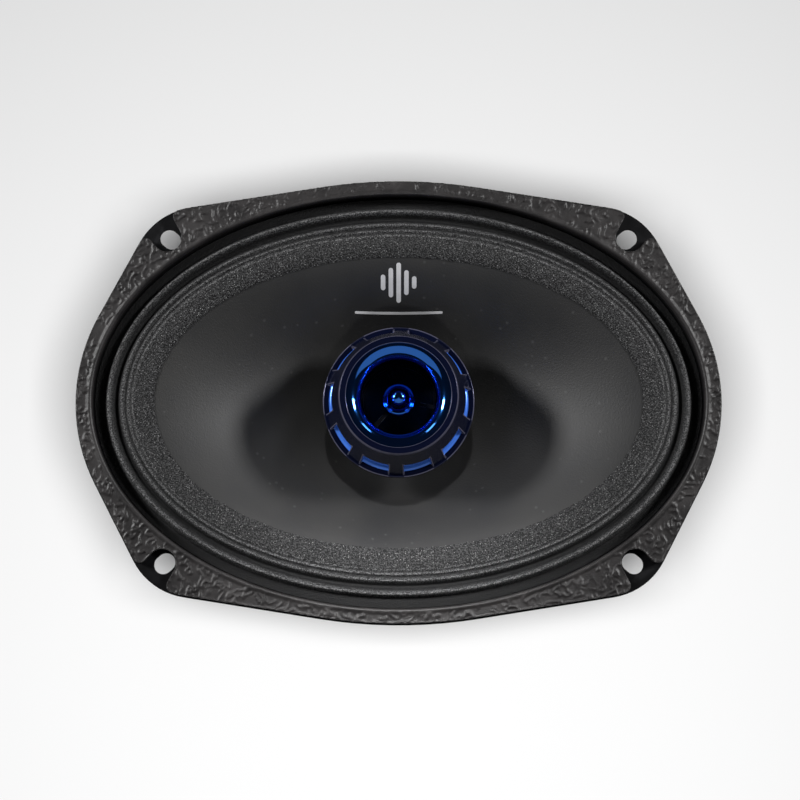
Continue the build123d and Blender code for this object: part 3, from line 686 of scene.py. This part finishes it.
def makeSurround():
    top = softLine(surround["pleats"], surround["steps"])
    thick = surround["thick"]
    rings = [(opening["x"] - p.x, opening["y"] - p.x, p.y) for p in top]
    under = [(a, b, up - thick) for a, b, up in rings]
    obj = ringStack("surround_cloth", rings + under[::-1] + rings[:1], surround["around"])
    closeUp(obj)
    placed = points(obj)
    inset = insetOf(placed / mm)
    puff = unevenness(placed, *surround["puff"])
    placed[:, 2] += puff * mm * np.clip((inset - surround["puffFrom"]) / surround["puffOver"], 0, 1)
    setPoints(obj, placed)
    smooth(obj, 60)
    mapAround(obj, inset)
    # a mask over the pleats' crests, where the cloth's finish paints its highlights
    crest = np.zeros(len(placed))
    for middle, wide in surround["crests"]:
        crest = np.maximum(crest, np.exp(-(((inset - middle) / wide) ** 2)))
    pointMask(obj, "crest", crest)
    obj.data.materials.append(finishes["surround_cloth"])
    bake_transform(obj)
    followRadially((inset - surround["followFrom"]) / (surround["followTo"] - surround["followFrom"]))
    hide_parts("surround")
    return obj


def makeFlap():
    # the flap lies on the cone and its inner edge is a little ragged
    lastPleat = surround["pleats"][-1][0]
    first = lastPleat - flap["under"]
    span = flap["end"] - first
    insets = [first + span * k / flap["rings"] for k in range(flap["rings"] + 1)]
    rings = [(opening["x"] - d, opening["y"] - d, 0) for d in insets]
    obj = ringStack("surround_flap", rings, surround["around"])
    placed = points(obj)
    inset = insetOf(placed / mm)
    ragged = unevenness(placed, *flap["ragged"])
    edge = np.clip((inset - insets[-2]) / (insets[-1] - insets[-2]), 0, 1)
    placed[:, :2] *= (1 + ragged * edge * mm / np.linalg.norm(placed[:, :2], axis=1))[:, None]
    lip = np.clip((lastPleat + flap["step"] - inset) / flap["step"], 0, 1)
    nap = unevenness(placed, flap["nap"])
    thin = flap["lift"] * (1 - flap["thinning"] * edge)
    face = coneHeight(placed[:, 0] / mm, placed[:, 1] / mm)
    placed[:, 2] = (face + thin + lip * flap["stepTall"] + nap * (1 - edge)) * mm
    setPoints(obj, placed)
    mapAround(obj, inset)
    wall = obj.modifiers.new("wall", "SOLIDIFY")
    wall.thickness = flap["wall"] * mm
    wall.offset = -1
    applyAll(obj)
    closeUp(obj, 0.0005)
    smooth(obj, 60)
    obj.data.materials.append(finishes["flap_cloth"])
    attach(obj, "cone")
    return obj


surroundCloth = makeSurround()
surroundFlap = makeFlap()
print("surround made")


# Gasket: the foam ring, embossed all over except along its inner edge

gasket = {
    "voxel": 0.43, "underShare": 0.35, "underTurn": 4, "deep": 0.6, "plainRim": 1.3, "rimOver": 0.8,
    "upFrom": 0.6, "upOver": 0.35, "worm": 410, "stroke": 0.17, "bend": 240, "bendFar": 1.6,
    "gap": 330, "gapSharp": 2.6, "gapShift": 0.24, "roll": 240, "rollShare": 0.12, "wormShare": 0.88,
}


def wormHeight(p):
    # short raised strokes on a gently rolling face, from 0 to 1
    sideX = noise.noise(p * gasket["bend"])
    sideY = noise.noise(p * gasket["bend"] + Vector((7, 3, 1)))
    bent = p + Vector((sideX, sideY, 0)) * gasket["bendFar"] * mm
    line = abs(noise.noise(bent * gasket["worm"] + Vector((3, 9, 5))))
    ridge = max(0.0, 1 - line / gasket["stroke"])
    parted = noise.noise(p * gasket["gap"] + Vector((1, 5, 8))) + gasket["gapShift"]
    gap = min(1.0, max(0.0, 0.5 + gasket["gapSharp"] * parted))
    roll = 0.5 + 0.5 * noise.noise(bent * gasket["roll"])
    return gasket["rollShare"] * roll + gasket["wormShare"] * gap * ridge * (2 - ridge)


def makeGasket():
    # fine all over for the embossing, then coarse again underneath, where nothing shows
    obj = mergedCopy("gasket_ring", "gasket")
    remesh = obj.modifiers.new("foam", "REMESH")
    remesh.mode = "VOXEL"
    remesh.voxel_size = gasket["voxel"] * mm
    applyAll(obj)
    low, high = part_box("gasket")
    under = bmesh.new()
    under.from_mesh(obj.data)
    flat = [v for v in under.verts if v.co.z < low.z + gasket["underShare"] * (high.z - low.z)]
    bmesh.ops.dissolve_limit(under, angle_limit=math.radians(gasket["underTurn"]), verts=flat, edges=[])
    bmesh.ops.triangulate(under, faces=[f for f in under.faces if len(f.verts) > 4])
    under.to_mesh(obj.data)
    under.free()
    placed = points(obj)
    normals = np.empty(len(placed) * 3)
    obj.data.vertices.foreach_get("normal", normals)
    up = normals.reshape(-1, 3)[:, 2]
    rim = -insetOf(placed / mm)
    shown = np.clip((up - gasket["upFrom"]) / gasket["upOver"], 0, 1)
    shown = shown * np.clip((rim - gasket["plainRim"]) / gasket["rimOver"], 0, 1)
    for k in np.nonzero(shown > 0.01)[0]:
        placed[k, 2] -= (1 - wormHeight(Vector(placed[k]))) * gasket["deep"] * shown[k] * mm
    setPoints(obj, placed)
    smooth(obj, 80)
    replaceNode(obj, "frame", finishes["gasket_foam"], "gasket_foam", "gasket")
    print("gasket faces:", len(obj.data.polygons))
    return obj


gasketRing = makeGasket()
print("gasket embossed")


# Tweeter

bezelLow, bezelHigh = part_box("tweeter_bezel")
hornLow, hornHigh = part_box("tweeter_horn")
bulletLow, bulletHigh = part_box("bullet")
bezel = {
    "ring": bezelHigh.x / mm, "low": bezelLow.z / mm, "top": bezelHigh.z / mm,
    "lip": 21.2, "mouth": 18.9, "bore": 22.6, "ringTall": 3.0, "footIn": 0.9, "footRound": 1.3, "around": 720,
    "rises": (0.0, 0.06, 0.16, 0.3, 0.5, 0.75, 1.05, 1.4, 2.0, 3.0, 4.0, 5.0, 6.0, 7.0, 8.0, 8.4, 8.8, 9.2,
              9.6, 12.0),
    "pockets": 10, "pocketWide": 24.0, "pocketDeep": 3.5, "pocketFrom": -2.0, "pocketSoft": 0.35,
    "rimWide": 0.14, "edgeWide": 0.34, "edgeShine": 0.9, "ringWide": 0.45, "ringShine": 0.15, "ringMore": 0.7,
}


def makeBezel():
    # a ring, a leaning skirt with pockets cut round its foot, and a lip about the horn's mouth
    low, top, ring = bezel["low"], bezel["top"], bezel["ring"]
    lip, mouth, bore = bezel["lip"], bezel["mouth"], bezel["bore"]
    ledge = low + bezel["ringTall"]
    foot = ring - bezel["footIn"]
    skirtTop = (lip + 0.6, top - 2.2)
    outline = [(bore, low, 0), (ring, low, 0.4), (ring, ledge - 0.7, 0), (ring, ledge, 0.3),
               (ring - 0.5, ledge, 0), (ring - 0.6, ledge, 0), (foot + 0.2, ledge, 0)]
    for up in bezel["rises"]:
        share = up / (skirtTop[1] - ledge)
        outline.append((foot + (skirtTop[0] - foot) * share, ledge + up, 0))
    outline += [
        (*skirtTop, 0.4), (lip + 0.04, top - 0.7, 0), (lip, top - 0.6, 0), (lip - 0.05, top, 0.22),
        (lip - 0.4, top - 0.02, 0), (lip - 0.5, top - 0.02, 0), (mouth + 0.4, top - 0.03, 0),
        (mouth + 0.3, top - 0.03, 0), (mouth, top - 0.05, 0.15), (mouth, top - 1.5, 0),
        (mouth + 1.2, top - 1.5, 0), (mouth + 1.2, top - 4.5, 0), (bore, low + 8, 0), (bore, low, 0),
    ]
    obj = ringStack("tweeter_bezel_skirt", [(p.x, p.x, p.y) for p in easedLine(outline)], bezel["around"])
    closeUp(obj)
    placed = points(obj) / mm
    radius = np.hypot(placed[:, 0], placed[:, 1])
    angle = np.degrees(np.arctan2(placed[:, 1], placed[:, 0]))
    pitch = 360 / bezel["pockets"]
    off = np.abs((angle - bezel["pocketFrom"] + pitch / 2) % pitch - pitch / 2)
    inward = np.radians(bezel["pocketWide"] / 2 - off) * radius
    cut = np.clip(inward / bezel["pocketSoft"], 0, 1)
    cut = cut * cut * (3 - 2 * cut)
    above = np.clip(placed[:, 2] - ledge, 0, bezel["footRound"])
    rise = bezel["footRound"] - above
    wall = ring - bezel["pocketDeep"] + bezel["footRound"] - np.sqrt(bezel["footRound"] ** 2 - rise**2)
    skirt = (placed[:, 2] > ledge - 0.01) & (radius < foot + 0.1)
    outer = skirt & (radius > wall)
    moved = np.where(outer, radius + (wall - radius) * cut, radius)
    placed[:, :2] *= (moved / radius)[:, None]
    setPoints(obj, placed * mm)
    # painted highlights: thin bright lines along the lip, the mouth, the pockets' cut edges and the ring's
    # edge, kept as the 'rim' mask
    lifted = placed[:, 2] > top - 0.75
    near = bezel["rimWide"]
    rim = lifted & ((np.abs(radius - lip) < near) | (np.abs(radius - mouth) < near))
    cutEdge = skirt & (radius > wall - 0.3) & (np.abs(inward - 0.1) < bezel["edgeWide"])
    ringEdge = (radius > ring - bezel["ringWide"]) & (placed[:, 2] > ledge - 0.4)
    wearAndPaintedHighlight = np.maximum(rim * 1.0, cutEdge * bezel["edgeShine"])
    wearAndPaintedHighlight = np.maximum(wearAndPaintedHighlight, ringEdge * (bezel["ringShine"] + bezel["ringMore"] * (inward > 0)))
    pointMask(obj, "rim", wearAndPaintedHighlight)
    obj.data.materials.append(finishes["dark_blue_chrome"])
    obj.data.materials.append(finishes["pocket_blue"])
    # the pockets' faces take that brighter blue, a painted reflection in the plated pockets
    pocket = outer & (cut > 0.5)
    for face in obj.data.polygons:
        face.material_index = int(all(pocket[v] for v in face.vertices))
    smooth(obj, 40)
    replaceNode(obj, "frame", finishes["dark_blue_chrome"], "dark_blue_chrome", "tweeter_bezel")
    return obj


horn = {
    "throat": 13.4, "mouth": 18.9, "bellFoot": 7.0, "around": 256, "flareSteps": 22,
    "rim": 20.1, "rimTall": 1.2, "back": 14.6, "base": 19.5, "baseTall": 2,
}


def makeHorn():
    # the bell flares on a quarter round from the throat out to the mouth
    low, top = hornLow.z / mm, hornHigh.z / mm
    throat, mouth, foot = horn["throat"], horn["mouth"], horn["bellFoot"]
    inner = [(throat, low), (throat, 0.0), (throat, 4.5)]
    for k in range(horn["flareSteps"] + 1):
        turn = math.pi / 2 * k / horn["flareSteps"]
        inner.append((mouth - (mouth - throat) * math.cos(turn), foot + (top - foot) * math.sin(turn)))
    outline = [(out, up, 0) for out, up in inner]
    outline += [
        (horn["rim"], top, 0), (horn["rim"], top - horn["rimTall"], 0.2), (18.3, top - 1.5, 0.5),
        (15.9, foot + 2.6, 1), (horn["back"], foot, 1), (horn["back"], low + horn["baseTall"], 0.3),
        (horn["base"], low + horn["baseTall"], 0.3), (horn["base"], low, 0.3), (throat, low, 0),
    ]
    obj = turnedPiece("tweeter_horn_bell", outline, horn["around"])
    replaceNode(obj, "frame", finishes["blue_chrome"], "blue_chrome", "tweeter_horn")
    return obj


def makeBullet():
    low, top, radius = bulletLow.z / mm, bulletHigh.z / mm, bulletHigh.x / mm
    nose = softLine([(radius, low + 0.6), (radius * 0.95, low + 1.2), (radius * 0.8, low + 1.7),
                     (radius * 0.63, low + 2.6), (radius * 0.54, low + 3.9), (radius * 0.51, low + 5.0),
                     (radius * 0.45, low + 6.0), (radius * 0.28, low + 6.95), (0.0, top)], 6)
    outline = [(0.0, low, 0), (radius - 0.3, low, 0), (radius, low + 0.3, 0)] + [(p.x, p.y, 0) for p in nose]
    obj = turnedPiece("bullet_plug", outline + [(0.0, low, 0)], 128)
    replaceNode(obj, "frame", finishes["blue_chrome"], "blue_chrome", "bullet")
    return obj


bridge = {
    "easing": 0.15, "legs": 3, "first": 108, "railFrom": 8.0, "railTo": 10.2, "railApart": 0.6,
    "railWide": 0.22, "railTall": 0.3, "railRound": 0.05, "railSunk": 0.4,
}


def makeBridgeRails():
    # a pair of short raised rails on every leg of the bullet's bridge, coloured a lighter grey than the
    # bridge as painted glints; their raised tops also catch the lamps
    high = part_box("bullet_bridge")[1]
    long = bridge["railTo"] - bridge["railFrom"]
    middle = (bridge["railFrom"] + bridge["railTo"]) / 2
    made = []
    for leg in range(bridge["legs"]):
        for side in (-1, 1):
            bpy.ops.object.select_all(action="DESELECT")
            bpy.ops.mesh.primitive_cube_add(size=1, location=(0, 0, 0))
            obj = bpy.context.active_object
            bpy.ops.object.mode_set(mode="EDIT")
            bpy.ops.mesh.select_all(action="SELECT")
            bpy.ops.transform.resize(value=(long * mm, bridge["railWide"] * mm, bridge["railTall"] * mm))
            bpy.ops.mesh.bevel(offset=bridge["railRound"] * mm, segments=2)
            bpy.ops.object.mode_set(mode="OBJECT")
            turn = math.radians(bridge["first"] + 360 / bridge["legs"] * leg)
            across = side * bridge["railApart"]
            obj.rotation_euler = (0, 0, turn)
            obj.location = (
                (middle * math.cos(turn) - across * math.sin(turn)) * mm,
                (middle * math.sin(turn) + across * math.cos(turn)) * mm,
                high.z - bridge["railSunk"] * bridge["railTall"] * mm,
            )
            bpy.ops.object.transform_apply(location=True, rotation=True, scale=True)
            made.append(obj)
    only(made[0])
    for obj in made:
        obj.select_set(True)
    bpy.ops.object.join()
    rails = bpy.context.active_object
    rails.name = "bridge_rails"
    placed = points(rails)
    setPoints(rails, np.clip(placed, -1, [1, 1, high.z]))
    rails.data.materials.clear()
    rails.data.materials.append(finishes["rail_glint_grey"])
    smooth(rails, 40)
    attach(rails, "frame")


tweeterBezel = makeBezel()
# the bridge takes the darker, duller black, painted shade in the horn's throat
easedCopy("bullet_bridge", "frame", "black_plastic", bridge["easing"], finish="bridge_shaded_black")
makeBridgeRails()
tweeterHorn = makeHorn()
bulletPlug = makeBullet()
print("tweeter made")


# Spider, tweeter suspension and leads: the pieces that give as the cone or the dome moves

spider = {
    "rim": 44.6, "neck": 20.7, "hub": 19.2, "thick": 0.45, "waves": 5, "steps": 60, "around": 360,
    "fibre": (900, 0.04),
}


def makeSpider():
    # a waved cloth ring with a level band inside and out
    low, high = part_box("spider")
    thick, rim, neck = spider["thick"], spider["rim"], spider["neck"]
    middle = (low.z + high.z) / 2 / mm
    swing = (high.z - low.z) / 2 / mm - thick / 2
    line = [(high.x / mm, middle), (rim, middle)]
    for k in range(1, spider["steps"] + 1):
        share = k / spider["steps"]
        wave = math.sin(share * spider["waves"] * 2 * math.pi)
        line.append((rim + (neck - rim) * share, middle + swing * wave))
    line.append((spider["hub"], middle))
    top = [(r, r, up + thick / 2) for r, up in line]
    under = [(r, r, up - thick / 2) for r, up in line]
    obj = smooth(closeUp(ringStack("spider_cloth", top + under[::-1] + top[:1], spider["around"])), 60)
    placed = points(obj)
    out = np.hypot(placed[:, 0], placed[:, 1]) / mm
    fibre = unevenness(placed, spider["fibre"]) * mm
    placed[:, 2] = np.clip(placed[:, 2] + fibre, low.z, high.z)
    setPoints(obj, placed)
    obj.data.materials.append(finishes["spider_cloth"])
    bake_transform(obj)
    followRadially((rim - out) / (rim - neck))
    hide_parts("spider")


suspension = {"inner": 12.95, "held": 0.6, "steps": 12, "around": 192}


def makeSuspension():
    # a flat film ring, held over a narrow band inside and out
    low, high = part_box("tweeter_suspension")
    outer, inner, held = high.x / mm, suspension["inner"], suspension["held"]
    across = [inner + (outer - inner) * k / suspension["steps"] for k in range(suspension["steps"] + 1)]
    top = [(r, r, high.z / mm) for r in across]
    under = [(r, r, low.z / mm) for r in across]
    rings = top + under[::-1] + top[:1]
    obj = smooth(closeUp(ringStack("tweeter_suspension_ring", rings, suspension["around"])))
    placed = points(obj)
    out = np.hypot(placed[:, 0], placed[:, 1]) / mm
    obj.data.materials.append(finishes["dome_film"])
    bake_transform(obj)
    followRadially((outer - held - out) / (outer - inner - 2 * held))
    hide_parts("tweeter_suspension")


lead = {"stillBy": 6.0, "movesBy": 2.5}  # from the tag's end and from the former's end


def makeLead(node):
    # held by its tag at one end and by the former at the other
    obj = smooth(mergedCopy(node + "_braid", node), 60)
    placed = points(obj)
    away = np.hypot(placed[:, 0], placed[:, 1]) / mm
    near, far = away.min() + lead["movesBy"], away.max() - lead["stillBy"]
    obj.data.materials.append(finishes["tinsel_braid"])
    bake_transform(obj)
    followRadially((far - away) / (far - near))
    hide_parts(node)


makeSpider()
makeSuspension()
for node in ("lead_positive", "lead_negative"):
    makeLead(node)
print("flexing pieces made")


# The rest of the frame, with its edges eased

easing = {
    # slot, and how wide the rounded edges are in mm
    "basket": ("black_steel", 0.35),
    "top_plate": ("plated_steel", 0.4),
    "magnet_ring": ("ferrite", 0.6),
    "t_yoke": ("plated_steel", 0.5),
    "motor_rivets": ("plated_steel", 0.2),
    "terminal_board": ("phenolic", 0.12),
    "board_rivets": ("tinned_brass", 0.15),
    "terminal_positive": ("tinned_brass", 0.1),
    "terminal_negative": ("tinned_brass", 0.1),
    "tab_rivets": ("tinned_brass", 0.15),
    "capacitor": ("capacitor_film", 0.3),
    "capacitor_adhesive": ("hot_glue", 0.6),
    "tweeter_back_cover": ("black_plastic", 0.4),
    "tweeter_post": ("alloy", 0.25),
    "post_screws": ("black_oxide", 0.1),
    "bezel_screws": ("black_oxide", 0.1),
    "tweeter_terminal_strip": ("phenolic", 0.1),
    "tweeter_foam_pad": ("foam", 0.3),
}
for node, (slotName, wide) in easing.items():
    made = easedCopy(node, "frame", slotName, wide)
    print(made.name, len(made.data.polygons))
print("edges eased")


# Mark on the cone: five level bars over a thin rule

mark = {
    "up": 45.5, "bars": (5.0, 9.5, 13.0, 8.0, 4.0), "barWide": 1.7, "pitch": 2.9, "ruleUp": 35.6,
    "ruleLong": 33.0, "ruleWide": 0.8, "corner": 0.45, "inset": 0.02, "thick": 0.05, "lift": 0.09,
}


def inkPatch(name, middleX, middleY, wide, tall):
    # one flat bar of ink with rounded corners
    bpy.ops.object.select_all(action="DESELECT")
    bpy.ops.mesh.primitive_plane_add(size=1, location=(middleX * mm, middleY * mm, 0))
    obj = bpy.context.active_object
    obj.name = name
    bpy.ops.object.mode_set(mode="EDIT")
    bpy.ops.mesh.select_all(action="SELECT")
    bpy.ops.transform.resize(value=(wide * mm, tall * mm, 1))
    bpy.ops.mesh.bevel(offset=mark["corner"] * min(wide, tall) * mm, segments=5, affect="VERTICES")
    bpy.ops.mesh.inset(thickness=mark["inset"] * mm)
    bpy.ops.object.mode_set(mode="OBJECT")
    bpy.ops.object.transform_apply(location=True, rotation=True, scale=True)
    return obj


def makeMark():
    # the bars are joined, cut through at every mm and laid on the cone
    pieces = []
    first = -(len(mark["bars"]) - 1) / 2 * mark["pitch"]
    for k, tall in enumerate(mark["bars"]):
        pieces.append(inkPatch(f"bar{k}", first + k * mark["pitch"], mark["up"], mark["barWide"], tall))
    pieces.append(inkPatch("rule", 0, mark["ruleUp"], mark["ruleLong"], mark["ruleWide"]))
    only(pieces[0])
    for piece in pieces:
        piece.select_set(True)
    bpy.ops.object.join()
    obj = bpy.context.active_object
    obj.name = "cone_mark"
    cutter = bmesh.new()
    cutter.from_mesh(obj.data)
    for axis, span in ((0, 20), (1, 60)):
        for k in range(2 * span + 1):
            spot = Vector((0, 0, 0))
            spot[axis] = (k - span) * mm
            plane = Vector((0, 0, 0))
            plane[axis] = 1
            bmesh.ops.bisect_plane(cutter, geom=cutter.verts[:] + cutter.edges[:] + cutter.faces[:],
                                   plane_co=spot, plane_no=plane)
    cutter.to_mesh(obj.data)
    cutter.free()
    placed = points(obj)
    placed[:, 2] = (coneHeight(placed[:, 0] / mm, placed[:, 1] / mm) + mark["lift"]) * mm
    setPoints(obj, placed)
    wall = obj.modifiers.new("ink", "SOLIDIFY")
    wall.thickness = mark["thick"] * mm
    applyAll(obj)
    obj.data.materials.clear()
    obj.data.materials.append(finishes["mark_ink"])
    smooth(obj, 40)
    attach(obj, "cone")
    return obj


coneMark = makeMark()
print("mark made")


# Floor, light and camera

studio = {
    "floorWide": 6, "floorBelow": 0.0005, "floorColour": (0.86, 0.86, 0.86),
    "worldColour": (0.9, 0.93, 1.0, 1), "worldStrength": 0.02,
}
lighting = {
    # panels: place, size, watts and what they point at; pools: place, aim, angle in degrees and watts
    "keyLeft": ((-1.02, 0.39, 0.71), (0.22, 0.22), 16.5, (0, 0, 0)),
    "keyRight": ((1.02, 0.39, 0.71), (0.22, 0.22), 15.5, (0, 0, 0)),
    "backLeft": ((-0.68, 0.87, 0.69), (0.25, 0.25), 0.9, (0, 0, 0)),
    "backRight": ((0.68, 0.87, 0.69), (0.25, 0.25), 0.9, (0, 0, 0)),
    "plateSoft": ((0.0, -0.6, 0.75), (2.2, 1.0), 3.4, (0, 0, 0)),
    "floorSoft": ((0.0, -0.125, 0.75), (0.4, 0.24), 8.2, (0, -0.125, 0)),
    "poolBelow": ((0.0, 0.45, 0.95), (0.0, -0.054, -0.004), 4.9, 140),
    "poolAbove": ((0.0, -0.5, 0.95), (0.0, 0.05, -0.006), 4.6, 22),
    "poolSource": 0.05,
}


def makeFloor():
    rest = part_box("t_yoke")[0].z
    bpy.ops.object.select_all(action="DESELECT")
    bpy.ops.mesh.primitive_plane_add(size=studio["floorWide"], location=(0, 0, rest - studio["floorBelow"]))
    floor = bpy.context.active_object
    floor.name = "paleFloor"
    floor.data.materials.append(Finish("paleFloor", studio["floorColour"], 0.8, shine=0.2).material)
    world = bpy.data.worlds.new("studio")
    bpy.context.scene.world = world
    world.use_nodes = True
    world.node_tree.nodes["Background"].inputs["Color"].default_value = studio["worldColour"]
    world.node_tree.nodes["Background"].inputs["Strength"].default_value = studio["worldStrength"]
    return floor


def newLight(kind, name, place, aim, power):
    bpy.ops.object.select_all(action="DESELECT")
    bpy.ops.object.light_add(type=kind, location=place)
    light = bpy.context.active_object
    light.name = name
    light.data.energy = power
    light.rotation_euler = (Vector(aim) - Vector(place)).to_track_quat("-Z", "Y").to_euler()
    return light


def softLight(name):
    place, size, power, aim = lighting[name]
    light = newLight("AREA", name, place, aim, power)
    light.data.shape = "RECTANGLE"
    light.data.size, light.data.size_y = size
    return light


def poolLight(name):
    place, aim, angle, power = lighting[name]
    light = newLight("SPOT", name, place, aim, power)
    light.data.spot_size = math.radians(angle)
    light.data.spot_blend = 1.0
    light.data.shadow_soft_size = lighting["poolSource"]
    return light


def linkLights(lights, name, pieces, state="INCLUDE"):
    # the lights reach these pieces only, or, with EXCLUDE, all but these
    group = bpy.data.collections.new(name)
    for piece in pieces:
        group.objects.link(piece)
    for light in lights:
        light.light_linking.receiver_collection = group
    for member in group.collection_objects:
        member.light_linking.link_state = state


floor = makeFloor()
for name in ("keyLeft", "keyRight", "backLeft", "backRight"):
    linkLights([softLight(name)], name + "Objects", [floor], "EXCLUDE")
pools = [poolLight(name) for name in ("poolBelow", "poolAbove")]
linkLights(pools, "paperPieces", (coneShell, surroundFlap, surroundCloth, gasketRing, coneMark))
linkLights([softLight("plateSoft")], "platedPieces", (tweeterBezel, tweeterHorn, bulletPlug))
linkLights([softLight("floorSoft")], "floorOnly", [floor])

view = {"tilt": 8.0, "far": 0.65, "lens": 80.3, "sensor": 36, "clip": 0.01, "aim": (0.0005, 0.0, 0.0)}
tilt = math.radians(view["tilt"])
aim = Vector(view["aim"])
bpy.ops.object.camera_add(location=aim + view["far"] * Vector((0, -math.sin(tilt), math.cos(tilt))),
                          rotation=(tilt, 0, 0))
camera = bpy.context.active_object
camera.data.lens = view["lens"]
camera.data.sensor_width = view["sensor"]
camera.data.clip_start = view["clip"]
bpy.context.scene.camera = camera
bpy.context.scene.view_settings.view_transform = "Standard"
print("stage set")
